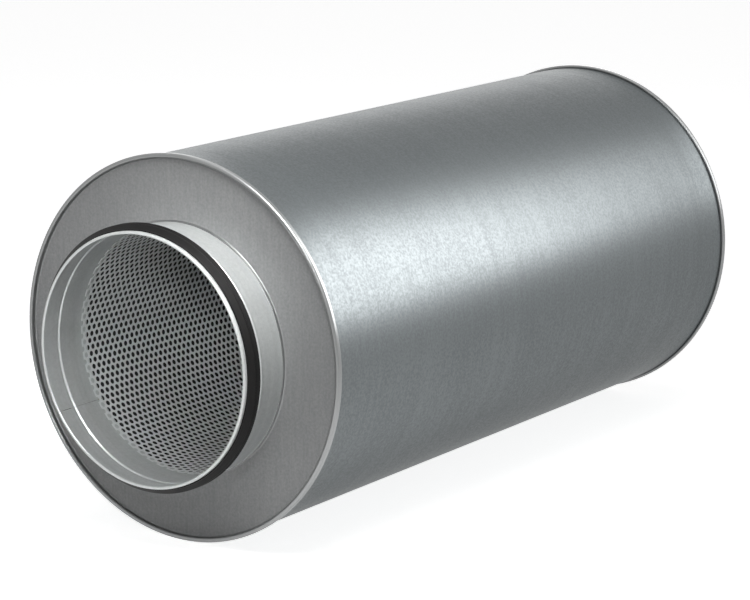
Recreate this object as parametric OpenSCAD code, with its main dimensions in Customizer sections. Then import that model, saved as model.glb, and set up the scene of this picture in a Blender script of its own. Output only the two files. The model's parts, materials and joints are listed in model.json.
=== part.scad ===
// Round duct silencer: a sheet-metal casing with a perforated liner, packed with mineral wool,
// closed by two drawn end caps and joined to the duct by two spigots with rubber lip seals.
// The duct's axis is X, the origin is the middle of the casing, and the front end faces -X.

/* [Casing] */
// Outside diameter of the casing
casing_d = 300; // [260:1:400]
// Length of the casing over the two rims
casing_l = 604; // [300:1:1200]
// Sheet thickness of the casing
casing_t = 0.7; // [0.5:0.05:1]
// Width of the lengthways lock seam
lock_seam_w = 7; // [4:0.5:12]
// Height of the lock seam above the casing
lock_seam_h = 0.7; // [0.4:0.1:1.4]
// Angle of the lock seam, from the back (0) downwards (-90)
lock_seam_a = -50; // [-90:5:0]

/* [End caps] */
// Sheet thickness of the end caps
cap_t = 0.7; // [0.5:0.05:1]
// Depth of the flat face below the top of the rim
face_depth = 4.2; // [3.9:0.1:10]
// Height of the rolled rim on the outside
rim_h = 5; // [4.6:0.1:12]
// Play between the folded layers of the rim
rim_play = 0.1; // [0.05:0.01:0.2]
// Inside radius of the bend from the face up to the rim
rim_bend = 1.5; // [0.8:0.1:1.9]
// Height of the drawn neck that holds the spigot
neck_h = 2.2; // [2:0.1:8]
// Inside radius of the bend from the face out to the neck
neck_bend = 1.2; // [0.8:0.1:1.8]

/* [Spigots] */
// Bore of the duct that is pushed over a spigot
duct_d = 200; // [160:1:220]
// Play between the spigot and the duct, across the diameter
duct_play = 1; // [0.4:0.1:2]
// Sheet thickness of the spigots
spigot_t = 0.6; // [0.4:0.05:1]
// Reach of a spigot beyond the face of its end cap
spigot_out = 49; // [40:0.5:80]
// Reach of a spigot behind the sheet of its end cap
spigot_in = 25; // [15:1:60]
// Width across the hem that is folded in at the tip
hem_w = 2.4; // [1.8:0.1:3]
// Length of the folded hem
hem_l = 6; // [4:0.5:10]
// Distance from the tip to the bead that stops the seal
bead_at = 20; // [19:0.5:30]
// Height of the bead above the spigot
bead_h = 1; // [0.6:0.1:1.6]

/* [Lip seals] */
// Distance from the spigot's tip to the seal
seal_at = 3.3; // [2:0.1:4]
// Length of the seal's foot along the spigot
seal_l = 14; // [13:0.5:14]
// Thickness of the seal's foot
seal_foot_t = 1.2; // [0.8:0.1:2]
// Height of the lips above the spigot
lip_h = 4.9; // [3:0.1:6]
// Thickness of a lip where it leaves the foot
lip_root = 2.6; // [1.5:0.1:3.5]
// Width of a lip's edge
lip_edge = 0.8; // [0.4:0.1:1.5]
// How far a lip leans back
lip_lean = 3; // [1:0.1:4]
// Distance from the front of the seal to the first lip
lip_at = 0.8; // [0.4:0.1:1.5]
// Distance from one lip to the next
lip_step = 5.4; // [4.5:0.1:5.6]

/* [Liner] */
// Sheet thickness of the perforated liner
liner_t = 0.6; // [0.4:0.05:1]
// Radial room between the glass-tissue wrap and the spigot
liner_play = 0.3; // [0.1:0.05:1]
// Thickness of the glass-tissue wrap round the liner
tissue_t = 0.6; // [0.3:0.1:1.5]
// Distance from the top of the rim to the liner's cut end
liner_back = 1; // [0:0.5:8]
// Distance from the liner's end to the end of the wrap
tissue_back = 7; // [0.5:0.5:10]
// Diameter of the perforations
hole_d = 10; // [6:0.5:12]
// Distance between perforations
hole_pitch = 15; // [13.5:0.5:30]

/* [Hidden] */
$fn = 96;

zinc = "#a9afb0";
rubber = "#26262a";
tissue = "#202225";
wool = "#a99a5c";

// Radii of the casing and of the rim's five layers, from the inside out
casing_r = casing_d / 2;
casing_bore = casing_r - casing_t;
cap_wall = casing_bore - cap_t;
cap_hook_in = casing_r + rim_play;
cap_hook_out = cap_hook_in + cap_t;
casing_hook_in = cap_hook_out + rim_play;
casing_hook_out = casing_hook_in + casing_t;
rim_in = casing_hook_out + rim_play;
rim_r = rim_in + cap_t;

// Radii of the three half-round folds of the rim
top_fold = (rim_r - cap_wall) / 2;
casing_fold = (casing_hook_out - casing_bore) / 2;
hook_fold = (rim_r - cap_hook_in) / 2;

// Distances of the end's features from the middle of the casing
rim_u = casing_l / 2;
face_u = rim_u - face_depth;
cap_back_u = face_u - cap_t;
top_fold_u = rim_u - top_fold;
hook_fold_u = rim_u - rim_h + hook_fold;
tip_u = face_u + spigot_out;
spigot_end_u = cap_back_u - spigot_in;
seal_u = tip_u - seal_at;

// Radii of the duct's connection and of the layers of the airway's wall
spigot_r = (duct_d - duct_play) / 2;
spigot_bore = spigot_r - spigot_t;
seal_foot_r = spigot_r + seal_foot_t;
lip_r = spigot_r + lip_h;
tissue_r = spigot_bore - liner_play;
liner_r = tissue_r - tissue_t;

// Front edge of each lip's root
lip_us = [for (lip = [0, 1]) seal_u - lip_at - lip * lip_step];

// Lengths of the liner and its wrap, and of the legs that hook in the rim
liner_l = casing_l - 2 * liner_back;
tissue_l = liner_l - 2 * tissue_back;
leg_gap = 2 * rim_play;

// Rows of perforations: a flat strip of sheet for each row round the liner
row_space = hole_pitch * sqrt(3) / 2;
rows = 2 * floor(PI * liner_r / row_space);
row_angle = 360 / rows;
liner_flat = liner_r * cos(row_angle / 2);
holes_half = floor(liner_l / 2 / hole_pitch);

// A profile drawn as radius and distance from the middle, turned round the X axis at one end
module turned(end) {
    rotate([0, 90 * end, 0])
        rotate_extrude()
            children();
}

// Half of a folded sheet's round bend, on the side that faces out (1) or in (-1)
module fold(radius, t, side) {
    intersection() {
        difference() {
            circle(radius);
            circle(radius - t);
        }
        translate([-radius, side > 0 ? 0 : -radius])
            square([2 * radius, radius]);
    }
}

// A quarter of a sheet's bend, below its centre and on the side of the given sign
module corner(inner, t, side) {
    intersection() {
        difference() {
            circle(inner + t);
            circle(inner);
        }
        translate([side > 0 ? 0 : -inner - t, -inner - t])
            square(inner + t);
    }
}

// A straight stretch of sheet between two radii and two distances from the middle
module strip(r_from, r_to, u_from, u_to) {
    translate([r_from, u_from])
        square([r_to - r_from, u_to - u_from]);
}

module casing_profile() {
    leg_u = hook_fold_u + leg_gap;
    for (side = [0, 1]) mirror([0, side]) {
        strip(casing_bore, casing_r, 0, top_fold_u);
        translate([casing_bore + casing_fold, top_fold_u])
            fold(casing_fold, casing_t, 1);
        strip(casing_hook_in, casing_hook_out, leg_u, top_fold_u);
    }
}

module lock_seam() {
    seam_l = 2 * (rim_u - rim_h - lock_seam_w);
    rotate([lock_seam_a, 0, 0])
        intersection() {
            rotate([0, 90, 0])
                linear_extrude(seam_l, center = true)
                    difference() {
                        circle(casing_r + lock_seam_h);
                        circle(casing_r - casing_t / 2);
                    }
            translate([-seam_l / 2, 0, -lock_seam_w / 2])
                cube([seam_l, 2 * casing_r, lock_seam_w]);
        }
}

module casing() {
    color(zinc) union() {
        turned(1) casing_profile();
        lock_seam();
    }
}

module end_cap(end) {
    neck_r = spigot_r + cap_t;
    neck_foot_r = neck_r + neck_bend;
    rim_foot_r = cap_wall - rim_bend;
    hook_top_u = top_fold_u - leg_gap;
    color(zinc) turned(end) {
        strip(spigot_r, neck_r, face_u + neck_bend, face_u + neck_h);
        translate([neck_foot_r, face_u + neck_bend])
            corner(neck_bend, cap_t, -1);
        strip(neck_foot_r, rim_foot_r, cap_back_u, face_u);
        translate([rim_foot_r, face_u + rim_bend])
            corner(rim_bend, cap_t, 1);
        strip(cap_wall, casing_bore, face_u + rim_bend, top_fold_u);
        translate([cap_wall + top_fold, top_fold_u])
            fold(top_fold, cap_t, 1);
        strip(rim_in, rim_r, hook_fold_u, top_fold_u);
        translate([cap_hook_in + hook_fold, hook_fold_u])
            fold(hook_fold, cap_t, -1);
        strip(cap_hook_in, cap_hook_out, hook_fold_u, hook_top_u);
    }
}

module spigot(end) {
    hem_fold = hem_w / 2;
    hem_u = tip_u - hem_fold;
    bead_r = bead_h + spigot_t;
    color(zinc) turned(end) {
        difference() {
            union() {
                strip(spigot_bore, spigot_r, spigot_end_u, hem_u);
                intersection() {
                    translate([spigot_bore, tip_u - bead_at])
                        circle(bead_r);
                    strip(spigot_bore, spigot_r + bead_h, spigot_end_u, hem_u);
                }
            }
            translate([spigot_bore, tip_u - bead_at])
                circle(bead_r - spigot_t);
        }
        translate([spigot_r - hem_fold, hem_u])
            fold(hem_fold, spigot_t, 1);
        strip(spigot_r - hem_w, spigot_r - hem_w + spigot_t, tip_u - hem_l, hem_u);
    }
}

module lip_seal(end) {
    lips = [
        for (u = lip_us)
            each [
                [seal_foot_r, u],
                [lip_r, u - lip_lean],
                [lip_r, u - lip_lean - lip_edge],
                [seal_foot_r, u - lip_root]
            ]
    ];
    foot_front = [[spigot_r, seal_u], [seal_foot_r, seal_u]];
    foot_back = [[seal_foot_r, seal_u - seal_l], [spigot_r, seal_u - seal_l]];
    color(rubber) turned(end)
        polygon(concat(foot_front, lips, foot_back));
}

function liner_outline(radius) = [
    for (row = [0 : rows - 1])
        radius * [cos((row + 0.5) * row_angle), sin((row + 0.5) * row_angle)]
];

module perforated_liner() {
    color(zinc) difference() {
        rotate([0, 90, 0])
            linear_extrude(liner_l, center = true)
                difference() {
                    polygon(liner_outline(liner_r));
                    polygon(liner_outline(liner_r - liner_t));
                }
        for (row = [0 : rows - 1], hole = [-holes_half : holes_half])
            rotate([row * row_angle, 0, 0])
                translate([(hole + row % 2 / 2) * hole_pitch, 0, liner_flat - 3 * liner_t])
                    cylinder(d = hole_d, h = 4 * liner_t);
    }
}

module glass_tissue_wrap() {
    color(tissue) turned(1)
        strip(liner_r, tissue_r, -tissue_l / 2, tissue_l / 2);
}

module mineral_wool() {
    color(wool) turned(1) difference() {
        strip(tissue_r, casing_bore, -cap_back_u, cap_back_u);
        for (side = [0, 1]) mirror([0, side])
            strip(0, spigot_r, spigot_end_u, rim_u);
    }
}

casing();
end_cap(-1);  // front_end_cap
end_cap(1);  // rear_end_cap
spigot(-1);  // front_spigot
spigot(1);  // rear_spigot
lip_seal(-1);  // front_lip_seal
lip_seal(1);  // rear_lip_seal
perforated_liner();
glass_tissue_wrap();
mineral_wool();
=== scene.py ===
"""Looks of the round duct silencer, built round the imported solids.

The duct's axis is X, the front end faces -X, and u is a distance from the middle along the axis.
Angles round the axis are counted from +Y towards +Z.
"""
import json
import math

import bmesh
import bpy
from mathutils import Matrix, Vector


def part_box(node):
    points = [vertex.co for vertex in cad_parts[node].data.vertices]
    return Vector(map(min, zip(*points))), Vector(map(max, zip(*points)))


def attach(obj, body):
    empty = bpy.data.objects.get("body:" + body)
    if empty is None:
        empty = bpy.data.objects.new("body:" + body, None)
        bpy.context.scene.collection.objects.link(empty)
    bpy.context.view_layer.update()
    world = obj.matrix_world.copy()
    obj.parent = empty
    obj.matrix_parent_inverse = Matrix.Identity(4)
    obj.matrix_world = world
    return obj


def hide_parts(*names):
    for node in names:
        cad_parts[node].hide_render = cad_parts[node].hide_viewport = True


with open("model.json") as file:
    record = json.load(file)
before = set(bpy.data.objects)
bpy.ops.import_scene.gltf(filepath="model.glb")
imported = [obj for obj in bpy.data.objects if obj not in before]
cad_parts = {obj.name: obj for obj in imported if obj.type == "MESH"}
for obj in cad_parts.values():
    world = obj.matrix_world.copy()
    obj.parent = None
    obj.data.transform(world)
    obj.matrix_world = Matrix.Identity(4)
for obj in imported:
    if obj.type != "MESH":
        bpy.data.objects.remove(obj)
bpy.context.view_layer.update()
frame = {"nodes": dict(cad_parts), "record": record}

MM = 0.001
ENDS = {"front": -1, "rear": 1}

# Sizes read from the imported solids
CAP_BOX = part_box("rear_end_cap")
SPIGOT_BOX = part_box("rear_spigot")
SEAL_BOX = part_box("rear_lip_seal")
LINER_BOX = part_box("perforated_liner")
MOUNTS = {mount["name"]: mount for mount in frame["record"]["mounts"]}
RIM_U, RIM_R = CAP_BOX[1].x, CAP_BOX[1].z
TIP_U, SPIGOT_END_U = SPIGOT_BOX[1].x, SPIGOT_BOX[0].x
SEAL_U, SEAL_END_U, LIP_R = SEAL_BOX[1].x, SEAL_BOX[0].x, SEAL_BOX[1].z
LINER_U = LINER_BOX[1].x
CASING_R = MOUNTS["casing_strap"]["pos_m"][2]

# Sheet and fold sizes that the solids share
SHEET = 0.7 * MM
SPIGOT_SHEET = 0.6 * MM
LINER_SHEET = 0.4 * MM
PLAY = 0.1 * MM
FACE_U = RIM_U - 4.2 * MM
RIM_FOOT_U = RIM_U - 5 * MM
CASING_BORE = CASING_R - SHEET
CAP_WALL = CASING_BORE - SHEET
HOOK_IN = CASING_R + PLAY
HOOK_OUT = HOOK_IN + SHEET
CASING_HOOK_IN = HOOK_OUT + PLAY
CASING_HOOK_OUT = CASING_HOOK_IN + SHEET
BEAD_H = 1 * MM
SPIGOT_R = SPIGOT_BOX[1].z - BEAD_H
SPIGOT_BORE = SPIGOT_R - SPIGOT_SHEET
NECK_R = SPIGOT_R + SHEET
NECK_TOP_U = FACE_U + 2.2 * MM
BEAD_U = TIP_U - 20 * MM
HEM_W, HEM_L = 2.4 * MM, 6 * MM
LINER_R = SPIGOT_BORE - 0.9 * MM

# The perforations of the real sheet; u of one hole's middle, near the duct's middle
HOLE_R = 2.15 * MM
COARSE_HOLE_R = 1.08 * HOLE_R
HOLE_PITCH = 6 * MM
COLUMNS = 118
HOLE_AT_U = -0.5 * MM

# Where the rolled sheets are joined, round the axis
SPIGOT_JOINT, SPIGOT_SLIT = math.radians(-32), math.radians(0.25)
LOCK_SEAM = math.radians(-50)

# Steps of a full turn and of a rounded corner, and the least angle of an edge that stays sharp
TURN_STEPS = 288
ROUND_STEPS = 5
SHARP = math.radians(40)

# Share of half a fold's width that its corners are rounded by, so that they don't meet
TIGHT = 0.98

scene = bpy.context.scene


# Materials

# Patterns that all zinc sheets share, as scales and as shares of the tone
CLOUD_SCALE, SPECKLE_SCALE, SPANGLE_SCALE = 16.0, 500.0, 480.0
CLOUD_SHARE = (0.1, 0.9)
SPANGLE_SHARE = 0.12
GRAIN_DEPTH = 0.1 * MM

# How a pattern is drawn out along x, y and z
EVEN = (1, 1, 1)
ROUND_GRAIN = (1, 0.02, 0.02)
UPRIGHT_GRAIN = (0.1, 1, 0.08)
LENGTHWAYS_GRAIN = (0.05, 1, 1)


def node_tools(tree):
    """Short ways to add a node with its inputs, and to link two sockets."""
    def link(output, socket):
        tree.links.new(output, socket)

    def add(kind, inputs=(), **settings):
        node = tree.nodes.new(kind)
        for key, value in settings.items():
            setattr(node, key, value)
        for socket, value in dict(inputs).items():
            if isinstance(value, bpy.types.NodeSocket):
                link(value, node.inputs[socket])
            else:
                node.inputs[socket].default_value = value
        return node

    return add, link


def new_finish(name):
    """A new material, its shader and the tools for its nodes."""
    material = bpy.data.materials.new(name)
    material.use_nodes = True
    return material, material.node_tree.nodes["Principled BSDF"], *node_tools(material.node_tree)


def blended(add, share, low, high):
    """A colour that goes from one to another with a 0 to 1 pattern."""
    node = add("ShaderNodeMix", {"Factor": share, "A": low, "B": high}, data_type="RGBA")
    return node.outputs["Result"]


def calculated(add, operation, first, *others):
    """Patterns joined one after another by a sum or by the larger value."""
    for other in others:
        first = add("ShaderNodeMath", {0: first, 1: other}, operation=operation).outputs["Value"]
    return first


def roughen(add, link, shader, height, strength, depth):
    """Fine relief from a pattern, in the shading alone."""
    bump = add("ShaderNodeBump", {"Height": height, "Strength": strength, "Distance": depth})
    link(bump.outputs["Normal"], shader.inputs["Normal"])


def spread(add, value, low, high):
    """A 0 to 1 pattern brought between two values."""
    node = add("ShaderNodeMapRange", {"Value": value, "To Min": low, "To Max": high})
    return node.outputs["Result"]


def stretched_noise(add, place, scale, stretch, detail=3.0, rough=0.55):
    """Noise in the piece's own coordinates, drawn out along the axes with a small stretch."""
    mapping = add("ShaderNodeMapping", {"Vector": place, "Scale": stretch})
    noise = add("ShaderNodeTexNoise", {
        "Vector": mapping.outputs["Vector"], "Scale": scale, "Detail": detail, "Roughness": rough})
    return noise.outputs["Fac"]


def zinc_sheet(
        name, bright, dull, roughness, metal, gloss, grain, grain_scale, grain_share,
        speckle_share, relief):
    """Galvanised sheet: fine zinc speckle over a faint rolling grain and slow clouds."""
    material, shader, add, link = new_finish(name)
    place = add("ShaderNodeTexCoord").outputs["Object"]
    clouds = stretched_noise(add, place, CLOUD_SCALE, EVEN, 4.0, 0.6)
    lines = stretched_noise(add, place, grain_scale, grain)
    speckle = stretched_noise(add, place, SPECKLE_SCALE, EVEN, 2.0, 0.6)
    spangle = add("ShaderNodeTexVoronoi", {"Vector": place, "Scale": SPANGLE_SCALE})
    flakes = add("ShaderNodeSeparateColor", {"Color": spangle.outputs["Color"]}).outputs["Red"]
    fine = calculated(
        add, "ADD", spread(add, lines, -grain_share, grain_share),
        spread(add, speckle, -speckle_share, speckle_share))
    tone = calculated(
        add, "ADD", fine, spread(add, clouds, *CLOUD_SHARE),
        spread(add, flakes, -SPANGLE_SHARE, SPANGLE_SHARE))
    link(blended(add, tone, (*dull, 1), (*bright, 1)), shader.inputs["Base Color"])
    shader.inputs["Metallic"].default_value = metal
    shader.inputs["Specular IOR Level"].default_value = gloss
    smooth, rough = roughness
    link(spread(add, tone, rough, smooth), shader.inputs["Roughness"])
    roughen(add, link, shader, fine, relief, GRAIN_DEPTH)
    return material


def soften_edge(material, share):
    """Less mirror-like metal where it is seen at a slant."""
    shader = material.node_tree.nodes["Principled BSDF"]
    shader.inputs["Specular Tint"].default_value = (share, share, share, 1)


def burnish_folds(material, folds, colour, roughness, metal):
    """Brighter, smoother zinc where the sheet was drawn or folded.

    Each fold is a pair of radii: where the burnish starts and where it is full.
    """
    shader = material.node_tree.nodes["Principled BSDF"]
    add, link = node_tools(material.node_tree)
    place = add("ShaderNodeTexCoord").outputs["Object"]
    across = add("ShaderNodeVectorMath", {0: place, 1: (0, 1, 1)}, operation="MULTIPLY")
    radius = add("ShaderNodeVectorMath", {0: across.outputs["Vector"]}, operation="LENGTH")
    worn = calculated(add, "MAXIMUM", *(
        add("ShaderNodeMapRange", {
            "Value": radius.outputs["Value"], "From Min": start, "From Max": full,
        }).outputs["Result"]
        for start, full in folds))
    sheet_tint = shader.inputs["Base Color"].links[0].from_socket
    link(blended(add, worn, sheet_tint, (*colour, 1)), shader.inputs["Base Color"])
    sheet_rough = shader.inputs["Roughness"].links[0].from_socket
    rough = add(
        "ShaderNodeMix", {"Factor": worn, "A": sheet_rough, "B": roughness}, data_type="FLOAT")
    link(rough.outputs["Result"], shader.inputs["Roughness"])
    sheet_metal = shader.inputs["Metallic"].default_value
    link(spread(add, worn, sheet_metal, metal), shader.inputs["Metallic"])


def rubber_finish(name):
    """Matt black rubber with a bloom of dust and fine moulding grain."""
    material, shader, add, link = new_finish(name)
    place = add("ShaderNodeTexCoord").outputs["Object"]
    bloom = stretched_noise(add, place, 45.0, EVEN, 5.0, 0.65)
    grain = stretched_noise(add, place, 1800.0, EVEN, 2.0)
    black, dusty = (0.0025, 0.0025, 0.003, 1), (0.009, 0.0085, 0.008, 1)
    link(blended(add, bloom, black, dusty), shader.inputs["Base Color"])
    link(spread(add, bloom, 0.58, 0.42), shader.inputs["Roughness"])
    shader.inputs["Specular IOR Level"].default_value = 0.14
    roughen(add, link, shader, grain, 0.15, GRAIN_DEPTH)
    return material


def fibre_finish(name, dark, light, scale, stretch, detail, relief, depth):
    """Dull matted fibres, longer along the axes with a small stretch."""
    material, shader, add, link = new_finish(name)
    place = add("ShaderNodeTexCoord").outputs["Object"]
    fibres = stretched_noise(add, place, scale, stretch, detail, 0.7)
    link(blended(add, fibres, (*dark, 1), (*light, 1)), shader.inputs["Base Color"])
    shader.inputs["Roughness"].default_value = 0.95
    roughen(add, link, shader, fibres, relief, depth)
    return material


casing_zinc = zinc_sheet(
    "casing_galvanised", bright=(0.152, 0.166, 0.170), dull=(0.121, 0.132, 0.136),
    roughness=(0.34, 0.42), metal=0.92, gloss=0.5, grain=ROUND_GRAIN, grain_scale=220.0,
    grain_share=0.5, speckle_share=1.7, relief=0.18)
soften_edge(casing_zinc, 0.6)
cap_zinc = zinc_sheet(
    "cap_galvanised", bright=(0.27, 0.273, 0.273), dull=(0.215, 0.219, 0.222),
    roughness=(0.38, 0.48), metal=0.14, gloss=0.25, grain=UPRIGHT_GRAIN, grain_scale=480.0,
    grain_share=0.6, speckle_share=1.1, relief=0.2)
spigot_zinc = zinc_sheet(
    "spigot_galvanised", bright=(0.60, 0.62, 0.615), dull=(0.48, 0.50, 0.495),
    roughness=(0.28, 0.38), metal=0.5, gloss=0.5, grain=ROUND_GRAIN, grain_scale=300.0,
    grain_share=0.5, speckle_share=0.5, relief=0.10)
liner_zinc = zinc_sheet(
    "liner_galvanised", bright=(0.82, 0.84, 0.84), dull=(0.70, 0.72, 0.72),
    roughness=(0.32, 0.44), metal=0.3, gloss=0.5, grain=LENGTHWAYS_GRAIN, grain_scale=300.0,
    grain_share=0.5, speckle_share=0.4, relief=0.10)
rim_burnish = (CAP_WALL - 0.9 * MM, CAP_WALL - 0.1 * MM)
neck_burnish = (NECK_R + 0.9 * MM, NECK_R + 0.2 * MM)
burnish_folds(
    cap_zinc, (rim_burnish, neck_burnish), colour=(0.25, 0.255, 0.255), roughness=0.28, metal=0.9)
seal_rubber = rubber_finish("black_rubber")
glass_tissue = fibre_finish(
    "black_tissue", dark=(0.003, 0.003, 0.003), light=(0.014, 0.014, 0.015),
    scale=900.0, stretch=(1, 0.25, 1), detail=4.0, relief=0.6, depth=0.4 * MM)
mineral_wool = fibre_finish(
    "yellow_wool", dark=(0.20, 0.16, 0.06), light=(0.46, 0.40, 0.19),
    scale=500.0, stretch=(1, 0.3, 0.3), detail=6.0, relief=0.8, depth=2 * MM)


# Shapes


def new_piece(name, bm, material, slot, *nodes):
    """A finished mesh as a smooth-shaded piece that stands for the given solids."""
    mesh = bpy.data.meshes.new(name)
    bm.to_mesh(mesh)
    bm.free()
    mesh.polygons.foreach_set("use_smooth", [True] * len(mesh.polygons))
    mesh.set_sharp_from_angle(angle=SHARP)
    mesh.materials.append(material)
    piece = bpy.data.objects.new(name, mesh)
    scene.collection.objects.link(piece)
    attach(piece, "root")
    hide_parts(*nodes)


def outline_wire(end, outline):
    """A closed outline of (u, radius, rounding) corners, in the plane above the axis."""
    bm = bmesh.new()
    corners = [bm.verts.new((end * u, 0, r)) for u, r, _ in outline]
    for here, there in zip(corners, corners[1:] + corners[:1]):
        bm.edges.new((here, there))
    for corner, (_, _, rounding) in zip(corners, outline):
        if rounding:
            bmesh.ops.bevel(
                bm, geom=[corner], offset=rounding, offset_type="OFFSET", segments=ROUND_STEPS,
                profile=0.5, affect="VERTICES", material=-1, clamp_overlap=True)
    return bm


def turned(end, outline):
    """A closed outline turned right round the duct's axis."""
    bm = outline_wire(end, outline)
    bmesh.ops.spin(
        bm, geom=bm.verts[:] + bm.edges[:], cent=(0, 0, 0), axis=(1, 0, 0), angle=2 * math.pi,
        steps=TURN_STEPS, use_merge=True)
    bmesh.ops.recalc_face_normals(bm, faces=bm.faces[:])
    return bm


def rolled(end, outline, joint, slit, steps=TURN_STEPS):
    """A closed outline rolled round the axis from one side of a slit to the other."""
    bm = outline_wire(end, outline)
    from_top = Matrix.Rotation(joint - math.pi / 2 + slit / 2, 3, "X")
    bmesh.ops.rotate(bm, cent=(0, 0, 0), matrix=from_top, verts=bm.verts[:])
    bmesh.ops.spin(
        bm, geom=bm.verts[:] + bm.edges[:], cent=(0, 0, 0), axis=(1, 0, 0),
        angle=2 * math.pi - slit, steps=steps, use_merge=False)
    bmesh.ops.holes_fill(bm, edges=[edge for edge in bm.edges if edge.is_boundary], sides=0)
    bmesh.ops.recalc_face_normals(bm, faces=bm.faces[:])
    return bm


def mirrored(half):
    """The corners of one end, then the same corners at the other end in the opposite order."""
    return half + [(-u, r, rounding) for u, r, rounding in reversed(half)]


def lock_seam():
    """The flat strip of the lock seam along the casing, with its long edges rounded."""
    width, height, end_rounding, side_rounding = (size * MM for size in (7, 0.7, 0.3, 0.35))
    end_u, root_r = RIM_FOOT_U - width, CASING_R - SHEET / 2
    outline = mirrored([(end_u, root_r, 0), (end_u, CASING_R + height, end_rounding)])
    rest_of_turn = 2 * math.pi - width / CASING_R
    strip = rolled(1, outline, LOCK_SEAM + math.pi, rest_of_turn, steps=6)
    long_edges = [
        edge for edge in strip.edges
        if edge.calc_length() > end_u and edge.calc_face_angle(0) > 1
        and min(vert.co.yz.length for vert in edge.verts) > CASING_R]
    bmesh.ops.bevel(
        strip, geom=long_edges, offset=side_rounding, offset_type="OFFSET", segments=3,
        profile=0.5, affect="EDGES", material=-1)
    return strip


def casing_shell():
    """The casing's sheet with its lock seam, hooked outwards and faintly grooved at both ends."""
    fold = (CASING_HOOK_OUT - CASING_BORE) / 2
    outer, inner = TIGHT * fold, TIGHT * (fold - SHEET)
    crest_u = RIM_U - SHEET - PLAY
    leg_u = RIM_FOOT_U + SHEET + 2 * PLAY
    groove_u, groove_w, groove_d = RIM_U - 32 * MM, 4 * MM, 0.09 * MM
    bm = turned(1, mirrored([
        (groove_u - groove_w, CASING_R, 0),
        (groove_u, CASING_R - groove_d, 1.5 * MM),
        (groove_u + groove_w, CASING_R, 0),
        (crest_u - SHEET, CASING_R, inner),
        (crest_u - SHEET, CASING_HOOK_IN, inner),
        (leg_u, CASING_HOOK_IN, 0),
        (leg_u, CASING_HOOK_OUT, 0),
        (crest_u, CASING_HOOK_OUT, outer),
        (crest_u, CASING_BORE, outer),
    ]))
    strip = lock_seam()
    seam_mesh = bpy.data.meshes.new("lock_seam")
    strip.to_mesh(seam_mesh)
    strip.free()
    bm.from_mesh(seam_mesh)
    bpy.data.meshes.remove(seam_mesh)
    return bm


def end_cap(end):
    """A drawn end cap: neck, flat face, and the rim that is folded over the casing's hook."""
    rim_half, hook_half = (RIM_R - CAP_WALL) / 2, (RIM_R - HOOK_IN) / 2
    rim_out, rim_in = TIGHT * rim_half, TIGHT * (rim_half - SHEET)
    hook_out, hook_in = TIGHT * hook_half, TIGHT * (hook_half - SHEET)
    neck_bend, rim_bend, cut_edge = 1.2 * MM, 1.5 * MM, 0.25 * MM
    hook_top_u = RIM_U - SHEET - 3 * PLAY - SHEET
    return turned(end, [
        (NECK_TOP_U, SPIGOT_R, 0),
        (NECK_TOP_U, NECK_R, cut_edge),
        (FACE_U, NECK_R, neck_bend),
        (FACE_U, CAP_WALL, rim_bend),
        (RIM_U, CAP_WALL, rim_out),
        (RIM_U, RIM_R, rim_out),
        (RIM_FOOT_U, RIM_R, hook_out),
        (RIM_FOOT_U, HOOK_IN, cut_edge),
        (hook_top_u, HOOK_IN, 0),
        (hook_top_u, HOOK_OUT, 0),
        (RIM_FOOT_U + SHEET, HOOK_OUT, hook_in),
        (RIM_FOOT_U + SHEET, RIM_R - SHEET, hook_in),
        (RIM_U - SHEET, RIM_R - SHEET, rim_in),
        (RIM_U - SHEET, CASING_BORE, rim_in),
        (FACE_U - SHEET, CASING_BORE, rim_bend + SHEET),
        (FACE_U - SHEET, SPIGOT_R, neck_bend + SHEET),
    ])


def bead(wall_r, foot, crest, foot_rounding, crest_rounding):
    """The corners of the bead on one side of the spigot's wall, from the casing to the tip."""
    return [
        (BEAD_U - foot, wall_r, foot_rounding),
        (BEAD_U - crest, wall_r + BEAD_H, crest_rounding),
        (BEAD_U + crest, wall_r + BEAD_H, crest_rounding),
        (BEAD_U + foot, wall_r, foot_rounding),
    ]


def spigot(end):
    """A spigot of rolled sheet: hemmed tip, a bead that stops the seal, its lengthways joint."""
    nose = TIGHT * HEM_W / 2
    hem_in = SPIGOT_R - HEM_W
    leg_in = SPIGOT_BORE - SPIGOT_SHEET - 2 * PLAY
    crease_u, crease_half, leg_end_u = TIP_U - HEM_W, 0.3 * MM, TIP_U - HEM_L
    outside = bead(SPIGOT_R, 1.9 * MM, 0.8 * MM, 0.7 * MM, 0.6 * MM)
    inside = bead(SPIGOT_BORE, 1.7 * MM, 0.6 * MM, 0.6 * MM, 0.5 * MM)
    return rolled(end, [
        (SPIGOT_END_U, SPIGOT_R, 0),
        *outside,
        (TIP_U, SPIGOT_R, nose),
        (TIP_U, hem_in, nose),
        (crease_u + crease_half, hem_in, 0.4 * MM),
        (crease_u - crease_half, leg_in, 0.15 * MM),
        (leg_end_u, leg_in, 0.1 * MM),
        (leg_end_u, leg_in + SPIGOT_SHEET, 0),
        (crease_u, leg_in + SPIGOT_SHEET, 0),
        (crease_u + 2 * crease_half, hem_in + SPIGOT_SHEET, 0),
        (TIP_U - SPIGOT_SHEET, hem_in + SPIGOT_SHEET, nose - SPIGOT_SHEET),
        (TIP_U - SPIGOT_SHEET, SPIGOT_BORE, nose - SPIGOT_SHEET),
        *reversed(inside),
        (SPIGOT_END_U, SPIGOT_BORE, 0),
    ], SPIGOT_JOINT, SPIGOT_SLIT)


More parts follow.
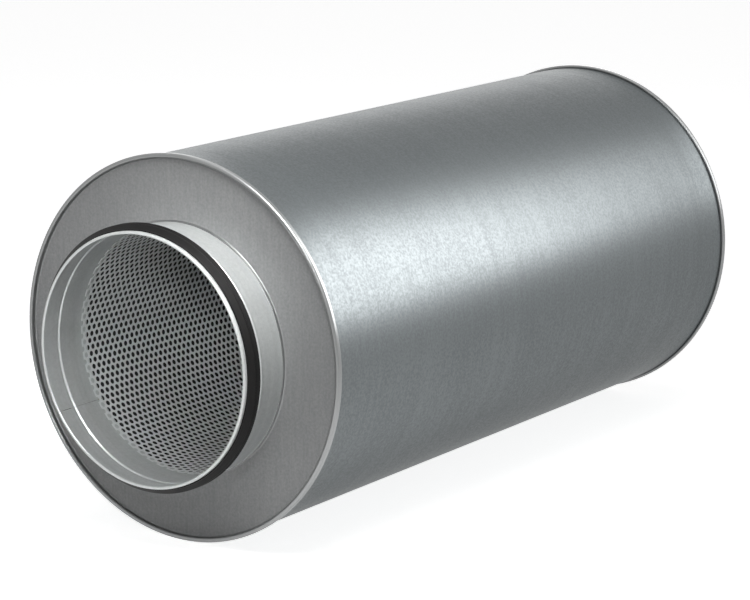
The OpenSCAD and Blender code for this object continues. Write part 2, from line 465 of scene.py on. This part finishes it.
def lip_seal(end):
    """A rubber seal: a foot round the spigot with two lips that lean back from the tip."""
    foot_r, foot_edge = SPIGOT_R + 1.2 * MM, 0.5 * MM
    lip_at, lip_step, lip_root, lip_lean, lip_edge = (
        size * MM for size in (0.8, 5.4, 2.6, 3.0, 0.8))
    front_root, back_root, edge_rounding = 0.3 * MM, 0.6 * MM, 0.38 * MM
    corners = [(SEAL_U, SPIGOT_R, 0), (SEAL_U, foot_r, foot_edge)]
    for root_u in (SEAL_U - lip_at, SEAL_U - lip_at - lip_step):
        corners += [
            (root_u, foot_r, front_root),
            (root_u - lip_lean, LIP_R, edge_rounding),
            (root_u - lip_lean - lip_edge, LIP_R, edge_rounding),
            (root_u - lip_root, foot_r, back_root),
        ]
    corners += [(SEAL_END_U, foot_r, foot_edge), (SEAL_END_U, SPIGOT_R, 0)]
    return turned(end, corners)


def hole_cell(fine):
    """One six-sided cell of the flat sheet with its hole, and the width of a column of cells.

    A fine hole has twelve corners. A coarse one has six, further out, for about the same area.
    """
    bm = bmesh.new()
    bmesh.ops.create_circle(bm, cap_ends=True, segments=6, radius=HOLE_PITCH / math.sqrt(3))
    corner_r = HOLE_R if fine else COARSE_HOLE_R
    if fine:
        bmesh.ops.subdivide_edges(bm, edges=bm.edges[:], cuts=1)
    bm.faces.ensure_lookup_table()
    middle = bm.faces[0]
    bmesh.ops.inset_individual(bm, faces=[middle], thickness=0.2 * MM)
    for vert in middle.verts:
        vert.co = vert.co.normalized() * corner_r
    bmesh.ops.delete(bm, geom=[middle], context="FACES")
    column_w = 2 * math.pi * LINER_R / COLUMNS
    bmesh.ops.scale(
        bm, vec=(1, column_w / (HOLE_PITCH * math.sqrt(3) / 2), 1), verts=bm.verts[:])
    return bm, column_w


def repeat(bm, geom, count, step):
    """Copies of some of the mesh in a row, a step apart."""
    for place in range(1, count):
        made = bmesh.ops.duplicate(bm, geom=geom)["geom"]
        verts = [item for item in made if isinstance(item, bmesh.types.BMVert)]
        bmesh.ops.translate(bm, vec=Vector(step) * place, verts=verts)


def everything(bm):
    """All that a mesh holds."""
    return bm.verts[:] + bm.edges[:] + bm.faces[:]


def perforated_sheet(first_row, last_row, fine):
    """Rows of holes from one place along the duct to another, rolled into the liner's tube."""
    bm, column_w = hole_cell(fine)
    start = HOLE_AT_U + first_row * HOLE_PITCH
    bmesh.ops.translate(bm, vec=(start, 0, 0), verts=bm.verts[:])
    repeat(bm, everything(bm), last_row - first_row, (HOLE_PITCH, 0, 0))
    repeat(bm, everything(bm), 2, (HOLE_PITCH / 2, column_w, 0))
    repeat(bm, everything(bm), COLUMNS // 2, (0, 2 * column_w, 0))
    for side in (-1, 1):
        bmesh.ops.bisect_plane(
            bm, geom=everything(bm), plane_co=(side * LINER_U, 0, 0), plane_no=(side, 0, 0),
            clear_outer=True)
    for vert in bm.verts:
        turn = vert.co.y / LINER_R
        vert.co = (vert.co.x, LINER_R * math.sin(turn), LINER_R * math.cos(turn))
    bmesh.ops.remove_doubles(bm, verts=bm.verts[:], dist=0.02 * MM)
    bmesh.ops.recalc_face_normals(bm, faces=bm.faces[:])
    sample = bm.faces[:1][0]
    outwards = sample.normal.dot(sample.calc_center_median() * Vector((0, 1, 1))) > 0
    if not outwards:
        bmesh.ops.reverse_faces(bm, faces=bm.faces[:])
    bmesh.ops.solidify(bm, geom=bm.faces[:], thickness=LINER_SHEET)
    return bm


new_piece("casing_sheet", casing_shell(), casing_zinc, "casing_zinc", "casing")
for word, end in ENDS.items():
    new_piece(f"{word}_cap_sheet", end_cap(end), cap_zinc, "cap_zinc", f"{word}_end_cap")
    new_piece(f"{word}_spigot_sheet", spigot(end), spigot_zinc, "spigot_zinc", f"{word}_spigot")
    new_piece(f"{word}_seal_ring", lip_seal(end), seal_rubber, "seal_rubber", f"{word}_lip_seal")

# The liner in five lengths, each from one row of holes to another: rounder holes towards the
# mouths and six-sided ones deep inside
LINER_LENGTHS = {
    "front_mouth": (-51, -36, True),
    "front": (-36, -21, True),
    "middle": (-21, 21, False),
    "rear": (21, 36, True),
    "rear_mouth": (36, 51, True),
}
for word, (first_row, last_row, fine) in LINER_LENGTHS.items():
    new_piece(
        f"liner_{word}", perforated_sheet(first_row, last_row, fine), liner_zinc,
        "liner_zinc", "perforated_liner")

for node, finish in (("glass_tissue_wrap", glass_tissue), ("mineral_wool", mineral_wool)):
    solid = frame["nodes"][node]
    solid.data.materials.clear()
    solid.data.materials.append(finish)


# Stage: floor, light and camera


def seen_rays(add):
    """1 for rays that show the background itself, in view, in a reflection or through glass."""
    path = add("ShaderNodeLightPath").outputs
    kinds = ("Is Camera Ray", "Is Glossy Ray", "Is Transmission Ray")
    return calculated(add, "MAXIMUM", *(path[kind] for kind in kinds))


def stage_floor():
    """A wide pale floor under the casing that reads as white and keeps a soft shadow."""
    bm = bmesh.new()
    bmesh.ops.create_grid(bm, x_segments=8, y_segments=8, size=30)
    bmesh.ops.translate(bm, vec=(0, 0, -RIM_R), verts=bm.verts[:])
    mesh = bpy.data.meshes.new("floor")
    bm.to_mesh(mesh)
    bm.free()
    material, shader, add, link = new_finish("floor_paper")
    shader.inputs["Base Color"].default_value = (0.9, 0.9, 0.9, 1)
    shader.inputs["Roughness"].default_value = 0.9
    shader.inputs["Emission Color"].default_value = (0.82, 0.82, 0.82, 1)
    link(seen_rays(add), shader.inputs["Emission Strength"])
    mesh.materials.append(material)
    floor = bpy.data.objects.new("floor", mesh)
    scene.collection.objects.link(floor)


def stage_world():
    """Faint even light; rays that show the background see plain white."""
    world = bpy.data.worlds.new("studio")
    world.use_nodes = True
    background = world.node_tree.nodes["Background"]
    background.inputs["Color"].default_value = (1, 1, 1, 1)
    add, link = node_tools(world.node_tree)
    link(spread(add, seen_rays(add), 0.08, 1.0), background.inputs["Strength"])
    scene.world = world


def soft_lamp(name, place, aim, size, power, card=False, beam=180):
    """A softbox, whose beam may be narrowed, or a card that is only seen in reflections."""
    lamp = bpy.data.lights.new(name, "AREA")
    lamp.shape = "RECTANGLE"
    lamp.size, lamp.size_y = size
    lamp.energy = power
    lamp.spread = math.radians(beam)
    holder = bpy.data.objects.new(name, lamp)
    holder.visible_camera = False
    holder.visible_diffuse = not card
    holder.location = place
    holder.rotation_euler = (Vector(aim) - Vector(place)).to_track_quat("-Z", "Y").to_euler()
    scene.collection.objects.link(holder)


def photo_camera():
    """The camera at the photograph's place, fitted to the rims and the casing's outline."""
    camera = bpy.data.cameras.new("camera")
    camera.sensor_fit = "HORIZONTAL"
    camera.sensor_width = 36
    camera.lens = 134.15
    holder = bpy.data.objects.new("camera", camera)
    holder.location = (-1.9244, -1.3199, 0.5045)
    tilt_down, heading = math.radians(12.57), math.radians(-55.03)
    holder.rotation_euler = (math.pi / 2 - tilt_down, 0, heading)
    scene.collection.objects.link(holder)
    scene.camera = holder


stage_floor()
stage_world()

# Cards that draw the casing's highlight, brightest at the front, and brighten its top
soft_lamp(
    "casing_card_front", place=(0.24, -0.5, 0.36), aim=(-0.25, -0.13, 0.075),
    size=(0.36, 0.58), power=3.5, card=True)
soft_lamp(
    "casing_card_middle", place=(0.45, -0.626, 0.405), aim=(0, -0.1, 0.11),
    size=(0.8, 0.56), power=1.65, card=True)
soft_lamp(
    "casing_card_rear", place=(0.95, -0.61, 0.4), aim=(0.2, -0.1, 0.11),
    size=(0.5, 0.56), power=2.05, card=True)
soft_lamp(
    "casing_card_behind", place=(1.77, 1.22, 0.6), aim=(0, 0, 0.12),
    size=(1.6, 0.7), power=5.2, card=True)

# Lamps for the front end, the liner behind its mouth, and the floor
FRONT_END = (-0.32, 0, 0)
soft_lamp(
    "near_lamp", place=(-0.464, -0.218, 0.362), aim=FRONT_END, size=(0.2, 0.2), power=1.4)
soft_lamp(
    "spigot_lamp", place=(-0.362, -0.17, 0.467), aim=FRONT_END, size=(0.2, 0.2), power=1.4)
soft_lamp(
    "mouth_lamp", place=(-0.95, -0.38, 0.36), aim=(-0.2, 0.09, -0.02),
    size=(0.15, 0.15), power=0.075, beam=22)
soft_lamp("floor_lamp", place=(0.1, 0.4, 2.4), aim=(0, 0, 0), size=(1.6, 1.6), power=10)

photo_camera()
scene.view_settings.view_transform = "Standard"
